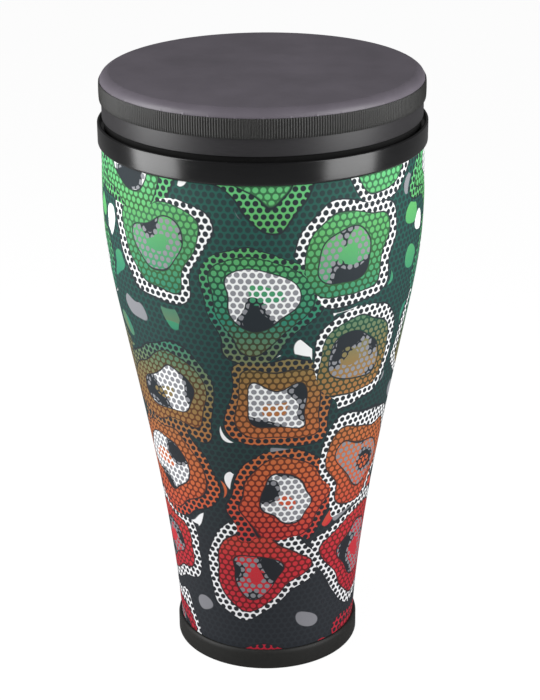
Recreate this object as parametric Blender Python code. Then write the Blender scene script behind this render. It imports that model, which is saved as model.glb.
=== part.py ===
"""Timbal drum: a tapered fibre shell in a printed fabric cover, with a pre-tuned head that lifts out of its collar."""

import math

import bmesh
import bpy

# Driving dimensions, in metres
SEGMENTS = 48
CONTACT_GAP = 0.0003

SHELL_LENGTH = 0.5744
SHELL_WALL = 0.0057
FOOT_RADIUS = 0.0932
FOOT_SLOPE = 0.046
HAUNCH_HEIGHT = 0.362
HAUNCH_RADIUS = 0.1451
HAUNCH_SLOPE = 0.193
BELLY_HEIGHT = 0.494
BELLY_SWELL = 0.00145
NECK_RADIUS = 0.1613
NECK_SLOPE = -0.035
FABRIC_THICKNESS = 0.0006

BASE_RING_HEIGHT = 0.022
BASE_RING_WALL = 0.0033
BASE_RING_FLOOR = 0.003
BASE_RING_EDGE = 0.0012
BASE_RING_ROUND_HEIGHT = 0.005
BASE_RING_LAND = 0.0005
UPSTAND_HEIGHT = 0.009
UPSTAND_WALL = 0.003

COLLAR_WALL = 0.0031
COLLAR_SKIRT = 0.0155
COLLAR_SHELF = 0.003
COLLAR_LIP_RISE = 0.0045
COLLAR_LIP_ROUND = 0.0016
COLLAR_FOOT_ROUND = 0.0022

GASKET_WIDTH = 0.0034
GASKET_THICKNESS = 0.0084

HOOP_OVERHANG = 0.0021
HOOP_HEIGHT = 0.0442
SPIGOT_CLEARANCE = 0.0006
SPIGOT_WALL = 0.0045
SPIGOT_DEPTH = 0.020

FILM_THICKNESS = 0.0005
CREASE_INSET = 0.0078
CREASE_BREAK = math.radians(25)
SKIRT_COVERED = 0.0175

BAND_HEIGHT = 0.0192
BAND_WALL = 0.00133
BAND_CROWN = 0.0003
BAND_RISE = 0.0174

# Heights of the stack, from the floor up
SHELL_BOTTOM = BASE_RING_FLOOR + CONTACT_GAP
SHELL_TOP = SHELL_BOTTOM + SHELL_LENGTH
SHELF_BOTTOM = SHELL_TOP + CONTACT_GAP
SHELF_TOP = SHELF_BOTTOM + COLLAR_SHELF
GASKET_BOTTOM = SHELF_TOP + CONTACT_GAP
GASKET_TOP = GASKET_BOTTOM + GASKET_THICKNESS
HEAD_SEAT = GASKET_TOP + CONTACT_GAP
COLLAR_BOTTOM = SHELF_BOTTOM - COLLAR_SKIRT
LIP_TOP = SHELF_TOP + COLLAR_LIP_RISE

# Radii that follow from the shell's mouth
MOUTH_RADIUS = NECK_RADIUS - SHELL_WALL
GASKET_RADIUS = MOUTH_RADIUS + GASKET_WIDTH
HOOP_RADIUS = GASKET_RADIUS + HOOP_OVERHANG
SPIGOT_RADIUS = MOUTH_RADIUS - SPIGOT_CLEARANCE
HOOP_BORE = SPIGOT_RADIUS - SPIGOT_WALL
SKIRT_BORE = HOOP_RADIUS + CONTACT_GAP
SKIRT_RADIUS = SKIRT_BORE + FILM_THICKNESS
CREASE_RADIUS = HOOP_RADIUS - CREASE_INSET
BAND_BORE = SKIRT_RADIUS + CONTACT_GAP
BAND_RADIUS = BAND_BORE + BAND_WALL


def clear_scene():
    """Remove every object of the opened scene."""
    for obj in list(bpy.data.objects):
        bpy.data.objects.remove(obj, do_unlink=True)


def finish(name, colour, roughness, metallic=0.0):
    """A Principled material of one colour."""
    material = bpy.data.materials.new(name)
    material.use_nodes = True
    shader = material.node_tree.nodes["Principled BSDF"]
    shader.inputs["Base Color"].default_value = (*colour, 1.0)
    shader.inputs["Roughness"].default_value = roughness
    shader.inputs["Metallic"].default_value = metallic
    return material


def turned(name, outline, material, parent=None):
    """Turn a closed outline of (radius, height) points round the drum's axis into one solid."""
    mesh = bpy.data.meshes.new(name)
    bm = bmesh.new()
    rings = []
    for radius, height in outline:
        if radius == 0:
            rings.append([bm.verts.new((0, 0, height))] * SEGMENTS)
            continue
        ring = []
        for step in range(SEGMENTS):
            angle = math.tau * step / SEGMENTS
            ring.append(bm.verts.new((radius * math.cos(angle), radius * math.sin(angle), height)))
        rings.append(ring)
    for lower, upper in zip(rings, rings[1:] + rings[:1]):
        for step in range(SEGMENTS):
            following = (step + 1) % SEGMENTS
            corners = (lower[step], lower[following], upper[following], upper[step])
            corners = list(dict.fromkeys(corners))
            if len(corners) > 2:
                bm.faces.new(corners)
    bmesh.ops.recalc_face_normals(bm, faces=bm.faces)
    bm.to_mesh(mesh)
    bm.free()
    mesh.shade_smooth()
    mesh.set_sharp_from_angle(angle=math.radians(30))
    mesh.materials.append(material)
    obj = bpy.data.objects.new(name, mesh)
    bpy.context.collection.objects.link(obj)
    obj.parent = parent
    return obj


def curve_between(start, end, along):
    """Radius on a cubic that meets both (height, radius, slope) stations with their slopes."""
    span = end[0] - start[0]
    t = (along - start[0]) / span
    return ((2 * t**3 - 3 * t**2 + 1) * start[1] + (t**3 - 2 * t**2 + t) * span * start[2]
            + (3 * t**2 - 2 * t**3) * end[1] + (t**3 - t**2) * span * end[2])


SHELL_STATIONS = (
    (0, FOOT_RADIUS, FOOT_SLOPE),
    (HAUNCH_HEIGHT, HAUNCH_RADIUS, HAUNCH_SLOPE),
    (BELLY_HEIGHT, NECK_RADIUS + BELLY_SWELL, 0),
    (SHELL_LENGTH, NECK_RADIUS, NECK_SLOPE),
)
STEPS_BETWEEN_STATIONS = (4, 3, 2)


def shell_radius(along):
    """Outer radius of the shell at a height above its own foot."""
    for start, end in zip(SHELL_STATIONS, SHELL_STATIONS[1:]):
        if along <= end[0]:
            return curve_between(start, end, along)
    return NECK_RADIUS


def shell_heights():
    """Heights above the shell's foot at which its profile is drawn."""
    heights = [0]
    for start, end, steps in zip(SHELL_STATIONS, SHELL_STATIONS[1:], STEPS_BETWEEN_STATIONS):
        heights += [start[0] + (end[0] - start[0]) * step / steps for step in range(1, steps + 1)]
    heights += [BASE_RING_HEIGHT - SHELL_BOTTOM, COLLAR_BOTTOM - SHELL_BOTTOM]
    return sorted(heights)


def tapered_tube(inner_offset, outer_offset):
    """Outline of a tube that follows the shell, between two offsets from its outer face."""
    heights = shell_heights()
    outside = [(shell_radius(h) + outer_offset, SHELL_BOTTOM + h) for h in reversed(heights)]
    inside = [(shell_radius(h) + inner_offset, SHELL_BOTTOM + h) for h in heights]
    return outside + inside


FABRIC_FACE = CONTACT_GAP + FABRIC_THICKNESS


def fabric_radius(height):
    """Outer radius of the fabric at a height above the floor."""
    return shell_radius(height - SHELL_BOTTOM) + FABRIC_FACE


def arc(centre_r, centre_z, run, rise, first, last, steps):
    """Points of an elliptical arc in the section plane, angles from the outward direction."""
    points = []
    for step in range(steps + 1):
        angle = first + (last - first) * step / steps
        points.append((centre_r + run * math.cos(angle), centre_z + rise * math.sin(angle)))
    return points


def base_ring_outline():
    """Channel section that the shell's foot stands in."""
    bore = fabric_radius(BASE_RING_HEIGHT) + CONTACT_GAP
    radius = bore + BASE_RING_WALL
    round_run = BASE_RING_WALL - BASE_RING_LAND
    upstand = FOOT_RADIUS - SHELL_WALL - CONTACT_GAP
    rounded = arc(bore + BASE_RING_LAND, BASE_RING_HEIGHT - BASE_RING_ROUND_HEIGHT,
                  round_run, BASE_RING_ROUND_HEIGHT, math.pi / 2, 0, 3)
    return [(bore, BASE_RING_HEIGHT)] + rounded + [
        (radius, BASE_RING_EDGE),
        (radius - BASE_RING_EDGE, 0),
        (upstand - UPSTAND_WALL, 0),
        (upstand - UPSTAND_WALL, UPSTAND_HEIGHT),
        (upstand, UPSTAND_HEIGHT),
        (upstand, BASE_RING_FLOOR),
        (bore, BASE_RING_FLOOR),
    ]


def collar_outline():
    """Cap section over the shell's top edge, with a wall that stands up as a rounded lip."""
    bore = max(fabric_radius(COLLAR_BOTTOM), fabric_radius(SHELL_TOP)) + CONTACT_GAP
    radius = bore + COLLAR_WALL
    lip = arc(radius - COLLAR_LIP_ROUND, LIP_TOP - COLLAR_LIP_ROUND,
              COLLAR_LIP_ROUND, COLLAR_LIP_ROUND, math.pi, 0, 4)
    foot = arc(radius - COLLAR_FOOT_ROUND, COLLAR_BOTTOM + COLLAR_FOOT_ROUND,
               COLLAR_FOOT_ROUND, COLLAR_FOOT_ROUND, 0, -math.pi / 2, 2)
    return lip + foot + [
        (bore, COLLAR_BOTTOM),
        (bore, SHELF_BOTTOM),
        (MOUTH_RADIUS, SHELF_BOTTOM),
        (MOUTH_RADIUS, SHELF_TOP),
        (radius - 2 * COLLAR_LIP_ROUND, SHELF_TOP),
    ]


def gasket_outline():
    """Plain rectangular ring on the collar's shelf."""
    return [
        (MOUTH_RADIUS, GASKET_TOP),
        (GASKET_RADIUS, GASKET_TOP),
        (GASKET_RADIUS, GASKET_BOTTOM),
        (MOUTH_RADIUS, GASKET_BOTTOM),
    ]


def shoulder(crease, top, side, foot, steps=4):
    """Rounded shoulder from the crease down to an upright side, breaking crisply at the crease."""
    points = []
    for step in range(steps + 1):
        angle = CREASE_BREAK + (math.pi / 2 - CREASE_BREAK) * step / steps
        run = (math.sin(angle) - math.sin(CREASE_BREAK)) / (1 - math.sin(CREASE_BREAK))
        drop = 1 - math.cos(angle) / math.cos(CREASE_BREAK)
        points.append((crease + (side - crease) * run, top - (top - foot) * drop))
    return points


# Heights of the head above its seat
HOOP_TOP = HOOP_HEIGHT
FILM_UNDERSIDE = HOOP_TOP + CONTACT_GAP
FILM_TOP = FILM_UNDERSIDE + FILM_THICKNESS
BAND_TOP = BAND_RISE + BAND_HEIGHT
SKIRT_BOTTOM = BAND_TOP - SKIRT_COVERED


def hoop_outline():
    """Hoop with a rounded top edge and a spigot that drops inside the shell's mouth."""
    return [(HOOP_BORE, HOOP_TOP)] + shoulder(CREASE_RADIUS, HOOP_TOP, HOOP_RADIUS, BAND_TOP) + [
        (HOOP_RADIUS, 0),
        (SPIGOT_RADIUS, 0),
        (SPIGOT_RADIUS, -SPIGOT_DEPTH),
        (HOOP_BORE, -SPIGOT_DEPTH),
    ]


def film_outline():
    """Film drawn over the hoop and folded down outside it as a skirt."""
    outside = shoulder(CREASE_RADIUS, FILM_TOP, SKIRT_RADIUS, BAND_TOP)
    inside = shoulder(CREASE_RADIUS, FILM_UNDERSIDE, SKIRT_BORE, BAND_TOP)
    return ([(0, FILM_TOP)] + outside + [(SKIRT_RADIUS, SKIRT_BOTTOM), (SKIRT_BORE, SKIRT_BOTTOM)]
            + inside[::-1] + [(0, FILM_UNDERSIDE)])


def band_outline():
    """Band round the film's skirt, slightly crowned; its fine ribs are surface texture."""
    return [
        (BAND_BORE, BAND_TOP),
        (BAND_RADIUS - BAND_CROWN, BAND_TOP),
        (BAND_RADIUS, BAND_RISE + BAND_HEIGHT / 2),
        (BAND_RADIUS - BAND_CROWN, BAND_RISE),
        (BAND_BORE, BAND_RISE),
    ]


def build():
    """Model every piece of the drum."""
    clear_scene()
    satin_black = finish("collar_plastic", (0.012, 0.012, 0.013), 0.3)
    matte_black = finish("base_rubber", (0.010, 0.010, 0.009), 0.6)
    turned("base_ring", base_ring_outline(), matte_black)
    turned("drum_shell", tapered_tube(-SHELL_WALL, 0), finish("shell_fibre", (0.09, 0.05, 0.03), 0.75))
    turned("fabric_cover", tapered_tube(CONTACT_GAP, FABRIC_FACE), finish("print", (0.03, 0.09, 0.08), 0.7))
    turned("collar_ring", collar_outline(), satin_black)
    turned("seat_gasket", gasket_outline(), finish("gasket_foam", (0.006, 0.006, 0.006), 0.95))

    head = bpy.data.objects.new("head_lift_axis", None)
    head.location = (0, 0, HEAD_SEAT)
    bpy.context.collection.objects.link(head)
    turned("head_hoop", hoop_outline(), finish("hoop_fibre", (0.028, 0.027, 0.03), 0.42), head)
    turned("head_film", film_outline(), finish("film", (0.10, 0.09, 0.11), 0.45), head)
    turned("ribbed_band", band_outline(), finish("band_plastic", (0.012, 0.012, 0.011), 0.5), head)


build()
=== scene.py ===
import math

import bmesh
import bpy
from mathutils import Matrix, Vector


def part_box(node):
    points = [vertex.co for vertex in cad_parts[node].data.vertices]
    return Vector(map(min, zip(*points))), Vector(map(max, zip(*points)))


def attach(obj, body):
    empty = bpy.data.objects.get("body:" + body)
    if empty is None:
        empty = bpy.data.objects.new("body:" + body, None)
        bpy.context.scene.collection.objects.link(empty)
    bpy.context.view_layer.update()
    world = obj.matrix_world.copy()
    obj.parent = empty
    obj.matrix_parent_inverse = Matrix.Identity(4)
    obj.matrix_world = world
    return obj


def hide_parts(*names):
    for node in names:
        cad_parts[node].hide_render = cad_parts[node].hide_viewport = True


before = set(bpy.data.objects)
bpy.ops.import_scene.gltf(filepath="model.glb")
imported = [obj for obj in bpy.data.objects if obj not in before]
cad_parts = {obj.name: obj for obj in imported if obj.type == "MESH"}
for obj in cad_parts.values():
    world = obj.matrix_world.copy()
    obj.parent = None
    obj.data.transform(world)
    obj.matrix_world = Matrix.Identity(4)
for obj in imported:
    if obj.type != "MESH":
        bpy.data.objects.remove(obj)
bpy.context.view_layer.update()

# How finely the pieces are drawn
SIDES = 288
FABRIC_SIDES = 360
FABRIC_ROWS = 110
SHELL_ROWS = 40
FILM_SIDES = 1440
POINTS_PER_RIB = 8
BAND_ROWS = 8
SOFT_ANGLE = math.radians(32)
CREASE_ANGLE = math.radians(20)
RIB_ANGLE = math.radians(60)
TOLERANCE = 0.0002

# Sizes of the pieces, in metres
CONTACT_GAP = 0.0003
EASED_EDGE = 0.0006
FABRIC_THICKNESS = 0.0006
SEAM_LAP = 0.014
SEAM_STEP = 0.00055
RIB_COUNT = 396
RIB_DEPTH = 0.00045
RIB_SHARPNESS = 1.5
BAND_CROWN = 0.0003
BAND_CORNER = 0.0004
NOTCH_COUNT = 40
NOTCH_HALF_WIDTH = 0.0016
NOTCH_RISE = 0.0030
NOTCH_PUCKER = 0.00045
NOTCH_REACH = 0.004
CREASE_INSET = 0.0078
CREASE_BREAK = math.radians(25)
FLAT_MARGIN = 0.002
COLLAR_WALL = 0.0031
COLLAR_LIP_ROUND = 0.0016
COLLAR_FOOT_ROUND = 0.0028
BASE_RING_ROUND_HEIGHT = 0.005
BASE_RING_LAND = 0.0005
BASE_RING_EDGE = 0.0012
BASE_RING_LEAST_FLOOR = 0.0018

# The camera, with the picture's long side on the sensor's width
LONG_SIDE_PX = 700
FOCAL_PX = 1861.7
SENSOR_MM = 36.0
CAMERA_AWAY = 1.8178
CAMERA_HEIGHT = 1.0841
CAMERA_PITCH = math.radians(22.52)
CAMERA_YAW = math.radians(0.17)
CAMERA_ROLL = math.radians(0.48)

# The floor, the surroundings and the two upright softboxes, each turned round the drum from the front
FLOOR_RADIUS = 9.0
FLOOR_SIDES = 64
FLOOR_DROP = 0.0005
FLOOR_GREY = 0.40
FLOOR_GLOW = 1.25
FLOOR_GLOW_SHARE = 0.75
WORLD_LEVEL = 0.30
WORLD_SEEN = 0.70
WORLD_MIRRORED = -0.20
SOFTBOX_AWAY = 1.35
SOFTBOX_WIDTH = 0.9
SOFTBOX_HEIGHT = 1.75
SOFTBOX_MIDDLE = 0.93
SOFTBOXES = (("softbox_left", -75, 32), ("softbox_right", 59, 28))


# Meshes

def linked(name, mesh):
    """A new object for a mesh, in the scene."""
    piece = bpy.data.objects.new(name, mesh)
    bpy.context.collection.objects.link(piece)
    return piece


def turned(name, outline, sides=SIDES, shift=None, sharp=SOFT_ANGLE):
    """Turn a closed outline of (radius, height) points; shift(angle, radius, height) moves points."""
    bm = bmesh.new()
    rings = []
    for radius, height in outline:
        if radius == 0:
            rings.append([bm.verts.new((0, 0, height))] * sides)
            continue
        ring = []
        for step in range(sides):
            angle = math.tau * step / sides
            at_radius, at_height = shift(angle, radius, height) if shift else (radius, height)
            ring.append(bm.verts.new((at_radius * math.cos(angle), at_radius * math.sin(angle), at_height)))
        rings.append(ring)
    for lower, upper in zip(rings, rings[1:] + rings[:1]):
        for step in range(sides):
            following = (step + 1) % sides
            corners = list(dict.fromkeys((lower[step], lower[following], upper[following], upper[step])))
            if len(corners) > 2:
                bm.faces.new(corners)
    bmesh.ops.recalc_face_normals(bm, faces=bm.faces)
    mesh = bpy.data.meshes.new(name)
    bm.to_mesh(mesh)
    bm.free()
    mesh.shade_smooth()
    mesh.set_sharp_from_angle(angle=sharp)
    return linked(name, mesh)


def arc(centre_r, centre_z, run, rise, first, last, steps):
    """Points of an elliptical arc in the section plane, angles from the outward direction."""
    points = []
    for step in range(steps + 1):
        angle = first + (last - first) * step / steps
        points.append((centre_r + run * math.cos(angle), centre_z + rise * math.sin(angle)))
    return points


def upper_edge(radius, height, rounding, first=math.pi / 2, steps=4):
    """Rounded upper outside edge, from the top face or an inner side down to the wall."""
    return arc(radius - rounding, height - rounding, rounding, rounding, first, 0, steps)


def lower_edge(radius, height, rounding, steps=4):
    """Rounded lower outside edge, from the wall in to the underside."""
    return arc(radius - rounding, height + rounding, rounding, rounding, 0, -math.pi / 2, steps)


def section(node):
    """The (radius, height) points of a turned node's section from the foot up, to 0.01 mm."""
    points = set()
    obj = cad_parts[node]
    for vertex in obj.data.vertices:
        at = obj.matrix_world @ vertex.co
        points.add((round(math.hypot(at.x, at.y), 5), round(at.z, 5)))
    return sorted(points, key=lambda point: point[1])


def radii_at(points, level):
    """Radii of the section points that lie at one height."""
    return [radius for radius, height in points if height == level]


def heights_at(points, reach):
    """Heights of the section points that lie at one radius."""
    return [height for radius, height in points if radius == reach]


def outer_stations(node):
    """Outer radius at each height of a turned node, from the foot up."""
    widest = {}
    for radius, height in section(node):
        widest[height] = max(widest.get(height, 0), radius)
    return sorted(widest.items())


def smooth_radius(stations, height):
    """Radius at a height on a smooth curve through (height, radius) stations."""
    index = 0
    while index < len(stations) - 2 and height > stations[index + 1][0]:
        index += 1

    def slope(at):
        before = stations[max(at - 1, 0)]
        after = stations[min(at + 1, len(stations) - 1)]
        return (after[1] - before[1]) / (after[0] - before[0])

    (z0, r0), (z1, r1) = stations[index], stations[index + 1]
    span = z1 - z0
    t = (height - z0) / span
    return ((2 * t**3 - 3 * t**2 + 1) * r0 + (t**3 - 2 * t**2 + t) * span * slope(index)
            + (3 * t**2 - 2 * t**3) * r1 + (t**3 - t**2) * span * slope(index + 1))


def extent(node):
    """Largest radius, lowest and highest point of a node."""
    low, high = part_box(node)
    return high[0], low[2], high[2]


def along_shell(stations, inner, outer, rows):
    """Outline of a tube that follows the shell between two offsets from the fabric's outer face."""
    foot, top = stations[0][0], stations[-1][0]
    heights = [foot + (top - foot) * row / rows for row in range(rows + 1)]
    outside = [(smooth_radius(stations, z) + outer, z) for z in reversed(heights)]
    inside = [(smooth_radius(stations, z) + inner, z) for z in heights]
    return outside + inside


def shoulder(crease, top, side, foot, steps=24):
    """Rounded shoulder from the crease to an upright side, breaking crisply at the crease."""
    points = []
    for step in range(steps + 1):
        angle = CREASE_BREAK + (math.pi / 2 - CREASE_BREAK) * step / steps
        run = (math.sin(angle) - math.sin(CREASE_BREAK)) / (1 - math.sin(CREASE_BREAK))
        drop = 1 - math.cos(angle) / math.cos(CREASE_BREAK)
        points.append((crease + (side - crease) * run, top - (top - foot) * drop))
    return points


fabric_stations = outer_stations("fabric_cover")
hoop_radius, hoop_foot, hoop_top = extent("head_hoop")
film_radius, film_foot, film_top = extent("head_film")
band_radius, band_foot, band_top = extent("ribbed_band")
collar_radius, collar_foot, collar_top = extent("collar_ring")
base_radius, base_foot, base_top = extent("base_ring")
crease_radius = hoop_radius - CREASE_INSET
film_thickness = film_radius - hoop_radius - CONTACT_GAP


def fabric_cover():
    """Cloth bonded to the shell, lapped over itself at the back."""
    def lap(angle, radius, height):
        along = (angle - math.pi / 2) * radius
        outer_face = radius >= smooth_radius(fabric_stations, height) - TOLERANCE
        if outer_face and 0 <= along <= SEAM_LAP:
            return radius + SEAM_STEP, height
        return radius, height

    outline = along_shell(fabric_stations, -FABRIC_THICKNESS, 0, FABRIC_ROWS)
    return turned("fabric_cover_cloth", outline, FABRIC_SIDES, lap)


def drum_shell():
    """Fibre shell inside the cloth."""
    points = section("drum_shell")
    foot_radii = radii_at(points, points[0][1])
    wall = max(foot_radii) - min(foot_radii)
    face = -(FABRIC_THICKNESS + CONTACT_GAP)
    return turned("drum_shell_fibre", along_shell(fabric_stations, face - wall, face, SHELL_ROWS))


def head_film():
    """Film with its crease, shoulder and notched skirt."""
    def pucker(angle, radius, height):
        if radius < film_radius - NOTCH_REACH or height < band_top - TOLERANCE:
            return radius, height
        pitch = math.tau / NOTCH_COUNT
        off = abs((angle + pitch / 2) % pitch - pitch / 2) * radius
        reach = max(0.0, 1 - off / NOTCH_HALF_WIDTH)
        down = max(0.0, min(1.0, (band_top + NOTCH_RISE - height) / NOTCH_RISE))
        return radius + NOTCH_PUCKER * reach * down, height

    inner_top = film_top - film_thickness
    inner_radius = film_radius - film_thickness
    flat = [(0, film_top), (crease_radius / 2, film_top), (crease_radius - FLAT_MARGIN, film_top)]
    outside = shoulder(crease_radius, film_top, film_radius, band_top)
    skirt = [(film_radius, film_foot), (inner_radius, film_foot)]
    inside = shoulder(crease_radius, inner_top, inner_radius, band_top)
    outline = flat + outside + skirt + inside[::-1] + [(0, inner_top)]
    return turned("head_film_sheet", outline, FILM_SIDES, pucker, CREASE_ANGLE)


def head_hoop():
    """Smooth fibre hoop with its centring spigot."""
    points = section("head_hoop")
    bore = min(r for r, z in points)
    spigot = max(radii_at(points, points[0][1]))
    seat = min(z for r, z in points if abs(r - hoop_radius) < EASED_EDGE)
    rim = shoulder(crease_radius, hoop_top, hoop_radius, band_top, 12)
    foot = lower_edge(hoop_radius, seat, EASED_EDGE)
    tip = lower_edge(spigot, hoop_foot, EASED_EDGE)
    outline = [(bore, hoop_top)] + rim + foot + [(spigot, seat)] + tip + [(bore, hoop_foot)]
    return turned("head_hoop_ring", outline)


def ribbed_band():
    """Band with fine upright ribs all round."""
    bore = min(r for r, z in section("ribbed_band"))
    middle = (band_foot + band_top) / 2
    half = (band_top - band_foot) / 2

    def rib(angle, radius, height):
        if radius < bore + EASED_EDGE:
            return radius, height
        wave = 0.5 - 0.5 * math.cos(RIB_COUNT * angle)
        return radius - RIB_DEPTH * wave**RIB_SHARPNESS, height

    outline = [(bore, band_top)]
    for step in range(BAND_ROWS + 1):
        across = math.cos(math.pi * step / BAND_ROWS)
        crown = BAND_CROWN * across**2 + BAND_CORNER * abs(across)**16
        outline.append((band_radius - crown, middle + half * across))
    outline.append((bore, band_foot))
    return turned("ribbed_band_fine", outline, RIB_COUNT * POINTS_PER_RIB, rib, RIB_ANGLE)


def collar_ring():
    """Cap over the shell's top edge with a rounded lip."""
    points = section("collar_ring")
    mouth = min(r for r, z in points)
    shelf_bottom, shelf_top = min(heights_at(points, mouth)), max(heights_at(points, mouth))
    bore = collar_radius - COLLAR_WALL
    lip = upper_edge(collar_radius, collar_top, COLLAR_LIP_ROUND, math.pi, 16)
    foot = lower_edge(collar_radius, collar_foot, COLLAR_FOOT_ROUND, 10)
    inside = [(bore, collar_foot), (bore, shelf_bottom), (mouth, shelf_bottom), (mouth, shelf_top),
              (collar_radius - 2 * COLLAR_LIP_ROUND, shelf_top)]
    return turned("collar_ring_cap", lip + foot + inside)


def seat_gasket():
    """Soft ring with eased edges on the collar's shelf."""
    points = section("seat_gasket")
    inner, outer = min(r for r, z in points), max(r for r, z in points)
    foot, top = points[0][1], points[-1][1]
    edges = upper_edge(outer, top, EASED_EDGE) + lower_edge(outer, foot, EASED_EDGE)
    return turned("seat_gasket_ring", [(inner, top)] + edges + [(inner, foot)])


def base_ring():
    """Moulded channel round the shell's foot."""
    points = section("base_ring")
    bore = min(radii_at(points, points[-1][1]))
    inner = min(r for r, z in points)
    upstand_top = max(heights_at(points, inner))
    upstand = max(radii_at(points, upstand_top))
    floor = min(z for r, z in points if z > BASE_RING_LEAST_FLOOR)
    rounded = arc(bore + BASE_RING_LAND, base_top - BASE_RING_ROUND_HEIGHT,
                  base_radius - bore - BASE_RING_LAND, BASE_RING_ROUND_HEIGHT, math.pi / 2, 0, 14)
    edge = lower_edge(base_radius, base_foot, BASE_RING_EDGE, 6)
    underside = [(inner, base_foot), (inner, upstand_top)]
    channel = [(upstand, upstand_top), (upstand, floor), (bore, floor)]
    return turned("base_ring_channel", [(bore, base_top)] + rounded + edge + underside + channel)


# Shader maths

class Value:
    """A socket of a material that takes part in Python arithmetic."""

    def __init__(self, tree, socket):
        self.tree = tree
        self.socket = socket

    def node(self, kind, settings, inputs, output=0):
        """Add a node: its settings first, then the values or links of its sockets."""
        node = self.tree.nodes.new(kind)
        for key, setting in settings.items():
            setattr(node, key, setting)
        for key, given in inputs.items():
            if isinstance(given, Value):
                self.tree.links.new(given.socket, node.inputs[key])
            else:
                node.inputs[key].default_value = given
        return Value(self.tree, node.outputs[output])

    def apply(self, operation, *others):
        """A maths operation on this value and the others."""
        return self.node("ShaderNodeMath", {"operation": operation}, dict(enumerate((self,) + others)))

    def __add__(self, other):
        return self.apply("ADD", other)

    __radd__ = __add__

    def __mul__(self, other):
        return self.apply("MULTIPLY", other)

    __rmul__ = __mul__

    def __sub__(self, other):
        return self.apply("SUBTRACT", other)

    def __rsub__(self, other):
        return self.node("ShaderNodeMath", {"operation": "SUBTRACT"}, {0: other, 1: self})

    def __truediv__(self, other):
        return self.apply("DIVIDE", other)

    def rise(self, low, high):
        """0 below low, 1 above high, smooth between."""
        return self.node("ShaderNodeMapRange", {"interpolation_type": "SMOOTHSTEP"},
                         {"Value": self, "From Min": low, "From Max": high})

    def within(self, low, high):
        """1 between low and high, with soft edges."""
        return (self.rise(low - RING_SOFTNESS, low + RING_SOFTNESS)
                * (1 - self.rise(high - RING_SOFTNESS, high + RING_SOFTNESS)))

    def parts(self):
        """The three numbers of a vector or colour."""
        split = self.node("ShaderNodeSeparateXYZ", {}, {0: self})
        outputs = split.socket.node.outputs
        return [Value(self.tree, outputs[index]) for index in range(3)]

    def over(self, under, mask):
        """This colour laid over another one where the mask is 1."""
        return self.node("ShaderNodeMix", {"data_type": "RGBA"}, {0: mask, 6: under, 7: self}, 2)

    def ramp(self, stops):
        """A colour looked up along this value from (position, colour) stops."""
        node = self.tree.nodes.new("ShaderNodeValToRGB")
        elements = node.color_ramp.elements
        while len(elements) < len(stops):
            elements.new(0.5)
        for element, (position, colour) in zip(elements, stops):
            element.position = position
            element.color = (*colour, 1)
        self.tree.links.new(self.socket, node.inputs[0])
        return Value(self.tree, node.outputs[0])


class Finish:
    """A material with its surface shader and a place value measured on the drum."""

    def __init__(self, name, **constants):
        self.material = bpy.data.materials.new(name)
        self.material.use_nodes = True
        self.tree = self.material.node_tree
        self.shader = self.tree.nodes["Principled BSDF"]
        for key, constant in constants.items():
            self.shader.inputs[key].default_value = constant
        coordinates = self.tree.nodes.new("ShaderNodeTexCoord")
        self.place = Value(self.tree, coordinates.outputs["Object"])

    def link(self, socket, value):
        """Feed a surface-varying value to the shader."""
        self.tree.links.new(value.socket, self.shader.inputs[socket])

    def noise(self, scale=1.0, detail=3.0, rough=0.55, stretch=None, output="Fac"):
        """Noise over the drum, or stretched by one scale round it and one up it."""
        source = self.stretched(*stretch) if stretch else self.place
        return source.node("ShaderNodeTexNoise", {}, {"Vector": source, "Scale": scale, "Detail": detail,
                                                      "Roughness": rough}, output)

    def stretched(self, across, upright):
        """Place measured round the drum and up it, each on its own scale."""
        x, y, z = self.place.parts()
        return z.node("ShaderNodeCombineXYZ", {}, {0: x.apply("ARCTAN2", y) * across, 1: z * upright, 2: 0.0})

    def bump(self, height, strength, distance):
        """Fine relief from a height value."""
        self.link("Normal", height.node("ShaderNodeBump", {}, {
            "Strength": strength, "Distance": distance, "Height": height}))


def tinted(base, spread, amount):
    """A colour that varies gently on both sides of a base colour."""
    low = tuple(c * (1 - amount) for c in base)
    high = tuple(c * (1 + amount) for c in base)
    return spread.ramp([(0.3, low), (0.7, high)])


def grained(name, ior, base, tint, roughness, relief, **grain):
    """A finish whose tint, roughness (least, spread) and relief (strength, depth) follow one grain."""
    finish = Finish(name, IOR=ior)
    pattern = finish.noise(**grain)
    least, spread = roughness
    finish.link("Base Color", tinted(base, pattern, tint))
    finish.link("Roughness", least + pattern * spread)
    finish.bump(pattern, *relief)
    return finish.material


# Finishes

def film_finish():
    """Satin coated film with a faint mottle and a fine tooth."""
    finish = Finish("head_film_coating", IOR=1.45)
    mottle = finish.noise(14, 5, 0.6)
    tooth = finish.noise(900, 2, 0.5)
    finish.link("Base Color", tinted((0.120, 0.107, 0.128), mottle, 0.13))
    finish.link("Roughness", 0.36 + mottle * 0.16)
    finish.bump(tooth, 0.10, 0.0003)
    return finish.material


def hoop_finish():
    """Satin dark grey fibre with grain that runs round the hoop."""
    return grained("hoop_lacquer", 1.45, (0.022, 0.021, 0.023), 0.15, (0.36, 0.12), (0.06, 0.0003),
                   detail=4, rough=0.6, stretch=(14, 900))


def band_finish():
    """Black ribbed plastic, a little worn."""
    return grained("band_plastic", 1.45, (0.011, 0.011, 0.010), 0.3, (0.42, 0.16), (0.05, 0.0002), scale=160)


def collar_finish():
    """Satin black moulding with faint drawn lines round it."""
    return grained("collar_plastic", 1.5, (0.007, 0.007, 0.0075), 0.2, (0.16, 0.10), (0.08, 0.0002),
                   detail=4, rough=0.6, stretch=(5, 700))


def base_finish():
    """Matte black rubber with a fine skin."""
    return grained("base_rubber", 1.4, (0.0095, 0.0095, 0.0085), 0.2, (0.50, 0.15), (0.08, 0.0002),
                   scale=260, detail=4)


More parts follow.
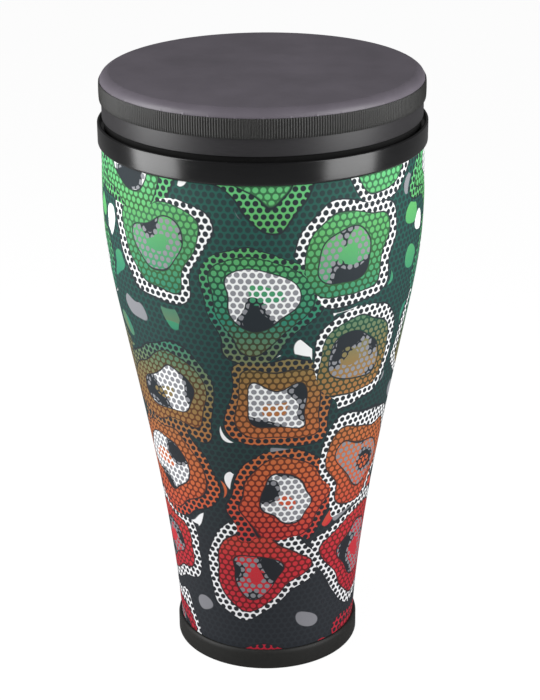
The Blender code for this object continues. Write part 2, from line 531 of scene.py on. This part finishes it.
def gasket_finish():
    """Black open foam."""
    return grained("gasket_foam", 1.3, (0.004, 0.004, 0.004), 0.5, (0.85, 0.1), (0.4, 0.0004),
                   scale=900, detail=2)


def shell_finish():
    """Pressed brown fibre board."""
    return grained("shell_fibre", 1.45, (0.11, 0.062, 0.036), 0.35, (0.65, 0.2), (0.3, 0.0006),
                   detail=6, rough=0.7, stretch=(30, 240))


# The print: lobed rosettes, pebbles and a dot screen, in metres and in shares of a rosette's pitch
PRINT_TOP = 0.60
SWAY_SCALE = 13.0
SWAY = 0.060
ROSETTE_PITCH = 0.118
ROSETTE_SCATTER = 0.5
ROSETTE_START = 7.3
FEWEST_LOBES = 2.0
LOBE_CHOICE = 3.0
LOBE_TURN = 6.0
LOBE_DEPTH = 0.12
PEBBLE_PITCH = 0.040
PEBBLE_SCATTER = 0.9
PEBBLE_START = 2.1
PEBBLE_SIZE = 0.27
PEBBLE_SOFTNESS = 0.03
DOT_PITCH = 0.0075
DOT_RADIUS = 0.0028
DOT_SOFTNESS = 0.0003
STEP = 0.01
THIN_STEP = 0.008
RING_SOFTNESS = 0.004
GROUND = 0.53
ROSETTE_EDGE = 0.50
NET = (0.40, 0.49)
BAND = (0.25, 0.39)
BAND_DOTS = (0.255, 0.385)
HEART = 0.235
CORE = 0.085
PATCH_SCALE = 34
PATCH_DOTS = 0.38
PATCH_NET = 0.47

# Chance levels from 0 to 1 above which a motif takes its other form
WHITE_NET = 0.56
GREY_PEBBLE = 0.30
ACCENT_PEBBLE = 0.55
BARE_GROUND = 0.42

# Colours of the print from the foot of the drum up
GROUND_DOTS = 0.75
ACCENT_SPREAD = 0.10
DEEP_SPREAD = 0.12
ACCENTS = [
    (0.04, (0.42, 0.010, 0.030)),
    (0.24, (0.50, 0.020, 0.030)),
    (0.40, (0.52, 0.115, 0.035)),
    (0.56, (0.26, 0.150, 0.045)),
    (0.70, (0.020, 0.200, 0.130)),
    (0.84, (0.100, 0.400, 0.120)),
    (0.95, (0.130, 0.560, 0.230)),
]
DEEP_SHARE = 0.26
DEEP = [(at, tuple(c * DEEP_SHARE for c in rgb)) for at, rgb in ACCENTS]
TEAL = [(0.25, (0.016, 0.020, 0.026)), (0.6, (0.008, 0.050, 0.045)), (0.9, (0.010, 0.085, 0.065))]
INK = [(0.2, (0.010, 0.012, 0.017)), (0.9, (0.012, 0.020, 0.026))]
WHITE = [(0.0, (0.78, 0.78, 0.80)), (1.0, (0.82, 0.84, 0.83))]
GREY = [(0.0, (0.20, 0.20, 0.22)), (1.0, (0.24, 0.25, 0.27))]


def scattered(u, v, pitch, scatter, start):
    """Distance to the nearest motif centre, that motif's chance numbers, and the place measured from it."""
    at = u.node("ShaderNodeCombineXYZ", {}, {0: u / pitch + start, 1: v / pitch + start, 2: 0.0})
    cell = at.node("ShaderNodeTexVoronoi", {"voronoi_dimensions": "2D"},
                   {"Vector": at, "Scale": 1.0, "Randomness": scatter}, "Distance")
    outputs = cell.socket.node.outputs
    chance = Value(cell.tree, outputs["Color"]).parts()
    centre = Value(cell.tree, outputs["Position"])
    local = at.node("ShaderNodeVectorMath", {"operation": "SUBTRACT"}, {0: at, 1: centre}).parts()
    return cell, chance, local


def dot_screen(across, up):
    """1 inside the dots of a hexagonal lattice, which is two square-set lattices half a step apart."""
    row = DOT_PITCH * math.sqrt(3)
    nearest = None
    for offset in (0.0, 0.5):
        du = ((across / DOT_PITCH + offset).apply("FRACT") - 0.5) * DOT_PITCH
        dv = ((up / row + offset).apply("FRACT") - 0.5) * row
        distance = (du * du + dv * dv).apply("SQRT")
        nearest = distance if nearest is None else nearest.apply("MINIMUM", distance)
    return 1 - nearest.rise(DOT_RADIUS - DOT_SOFTNESS, DOT_RADIUS + DOT_SOFTNESS)


def printed(place, sway, patch):
    """Colour of the print at a place on the cloth."""
    x, y, z = place.parts()
    across = x.apply("ARCTAN2", y * -1) * (x * x + y * y).apply("SQRT")
    sway_u, sway_v = sway.parts()[:2]
    u = across + (sway_u - 0.5) * SWAY
    v = z + (sway_v - 0.5) * SWAY
    screen = dot_screen(across, z)
    net = 1 - screen

    rosette, (pick, swap, hue), local = scattered(u, v, ROSETTE_PITCH, ROSETTE_SCATTER, ROSETTE_START)
    lobe_count = (pick * LOBE_CHOICE + FEWEST_LOBES).apply("FLOOR")
    lobes = (local[1].apply("ARCTAN2", local[0]) * lobe_count + hue * LOBE_TURN).apply("COSINE")
    ring = rosette * (1 + lobes * LOBE_DEPTH)
    pebble, (tone, keep, _), _ = scattered(u, v, PEBBLE_PITCH, PEBBLE_SCATTER, PEBBLE_START)

    height = z / PRINT_TOP
    accent = (height + (hue - 0.5) * ACCENT_SPREAD).ramp(ACCENTS)
    deep = (height + (swap - 0.5) * DEEP_SPREAD).ramp(DEEP)
    teal, ink, white, grey = (height.ramp(stops) for stops in (TEAL, INK, WHITE, GREY))
    is_white = swap.rise(WHITE_NET, WHITE_NET + STEP)
    light = white.over(accent, is_white)
    other = accent.over(white, is_white)

    cloth = ink.over(teal, screen * GROUND_DOTS)
    stone = grey.over(white, tone.rise(GREY_PEBBLE, GREY_PEBBLE + STEP))
    stone = accent.over(stone, tone.rise(ACCENT_PEBBLE, ACCENT_PEBBLE + STEP))
    kept = ring.rise(GROUND, GROUND + STEP) * keep.rise(BARE_GROUND, BARE_GROUND + STEP)
    cloth = stone.over(cloth, kept * (1 - pebble.rise(PEBBLE_SIZE, PEBBLE_SIZE + PEBBLE_SOFTNESS)))
    cloth = ink.over(cloth, 1 - ring.rise(ROSETTE_EDGE, ROSETTE_EDGE + STEP))
    cloth = light.over(cloth, ring.within(*NET) * net)
    cloth = deep.over(cloth, ring.within(*BAND))
    cloth = accent.over(cloth, ring.within(*BAND_DOTS) * screen)
    heart = 1 - ring.rise(HEART, HEART + THIN_STEP)
    cloth = ink.over(cloth, heart)
    cloth = grey.over(cloth, heart * patch.rise(PATCH_DOTS, PATCH_DOTS + STEP) * screen)
    cloth = other.over(cloth, heart * patch.rise(PATCH_NET, PATCH_NET + STEP) * net)
    return accent.over(cloth, (1 - ring.rise(CORE, CORE + THIN_STEP)) * screen)


def fabric_finish():
    """Printed cloth with a fine weave."""
    finish = Finish("print_fabric", IOR=1.4)
    sway = finish.noise(SWAY_SCALE, 1.0, 0.5, output="Color")
    patch = finish.noise(PATCH_SCALE, 0.0)
    finish.link("Base Color", printed(finish.place, sway, patch))
    weave = finish.noise(detail=2, rough=0.5, stretch=(420, 2600))
    finish.link("Roughness", 0.62 + weave * 0.2)
    finish.bump(weave, 0.12, 0.0003)
    return finish.material


def floor_finish():
    """Pale floor that reads near white to the camera and keeps the soft shadow."""
    grey = (FLOOR_GREY, FLOOR_GREY, FLOOR_GREY, 1)
    finish = Finish("pale_floor", **{"Roughness": 0.8, "Base Color": grey, "Specular IOR Level": 0.0})
    path = finish.tree.nodes.new("ShaderNodeLightPath")
    seen = Value(finish.tree, path.outputs["Is Camera Ray"])
    body = Value(finish.tree, finish.shader.outputs[0])
    glow = body.node("ShaderNodeEmission", {}, {"Color": (1, 1, 1, 1), "Strength": FLOOR_GLOW})
    mixed = body.node("ShaderNodeMixShader", {}, {0: seen * FLOOR_GLOW_SHARE, 1: body, 2: glow})
    finish.tree.links.new(mixed.socket, finish.tree.nodes["Material Output"].inputs[0])
    return finish.material


# The dressed drum

PIECES = (
    (base_ring, base_finish, "drum", "base_ring", "base_rubber"),
    (drum_shell, shell_finish, "drum", "drum_shell", "shell_fibre"),
    (fabric_cover, fabric_finish, "drum", "fabric_cover", "print_fabric"),
    (collar_ring, collar_finish, "drum", "collar_ring", "collar_plastic"),
    (seat_gasket, gasket_finish, "drum", "seat_gasket", "gasket_foam"),
    (head_hoop, hoop_finish, "head", "head_hoop", "hoop_fibre"),
    (head_film, film_finish, "head", "head_film", "head_film"),
    (ribbed_band, band_finish, "head", "ribbed_band", "band_plastic"),
)


def dress():
    """Make every piece, give it its finish and seat it on its body."""
    for make, finish, body, node, slot in PIECES:
        piece = make()
        piece.data.materials.append(finish())
        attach(piece, body)
        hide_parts(node)


# The stage

def lay_floor():
    """Round floor just under the base ring."""
    bm = bmesh.new()
    bmesh.ops.create_circle(bm, cap_ends=True, segments=FLOOR_SIDES, radius=FLOOR_RADIUS)
    mesh = bpy.data.meshes.new("floor")
    bm.to_mesh(mesh)
    bm.free()
    mesh.materials.append(floor_finish())
    floor = linked("floor", mesh)
    floor.location.z = -FLOOR_DROP


def light_world():
    """White surroundings to the camera, dim ones to the surfaces."""
    world = bpy.data.worlds.new("studio")
    bpy.context.scene.world = world
    world.use_nodes = True
    tree = world.node_tree
    path = tree.nodes.new("ShaderNodeLightPath")
    seen = Value(tree, path.outputs["Is Camera Ray"])
    mirrored = Value(tree, path.outputs["Is Glossy Ray"])
    strength = WORLD_LEVEL + seen * WORLD_SEEN + mirrored * WORLD_MIRRORED
    background = tree.nodes["Background"]
    tree.links.new(strength.socket, background.inputs["Strength"])
    background.inputs["Color"].default_value = (1, 1, 1, 1)


def hang_softboxes():
    """Upright softboxes on both sides, facing the drum's axis."""
    for name, turn, power in SOFTBOXES:
        light = bpy.data.lights.new(name, "AREA")
        light.shape = "RECTANGLE"
        light.size = SOFTBOX_WIDTH
        light.size_y = SOFTBOX_HEIGHT
        light.energy = power
        away = math.radians(turn)
        lamp = linked(name, light)
        lamp.location = (SOFTBOX_AWAY * math.sin(away), -SOFTBOX_AWAY * math.cos(away), SOFTBOX_MIDDLE)
        aim = Vector((0, 0, SOFTBOX_MIDDLE)) - lamp.location
        lamp.rotation_euler = aim.to_track_quat("-Z", "Y").to_euler()


def place_camera():
    """Camera in front of the drum, above it and looking down."""
    data = bpy.data.cameras.new("camera")
    data.sensor_width = SENSOR_MM
    data.lens = FOCAL_PX / LONG_SIDE_PX * SENSOR_MM
    camera = linked("camera", data)
    camera.matrix_world = (
        Matrix.Translation((0, -CAMERA_AWAY, CAMERA_HEIGHT))
        @ Matrix.Rotation(-CAMERA_YAW, 4, "Z")
        @ Matrix.Rotation(math.pi / 2 - CAMERA_PITCH, 4, "X")
        @ Matrix.Rotation(-CAMERA_ROLL, 4, "Z")
    )
    bpy.context.scene.camera = camera


dress()
lay_floor()
light_world()
hang_softboxes()
place_camera()
bpy.context.scene.view_settings.view_transform = "Standard"
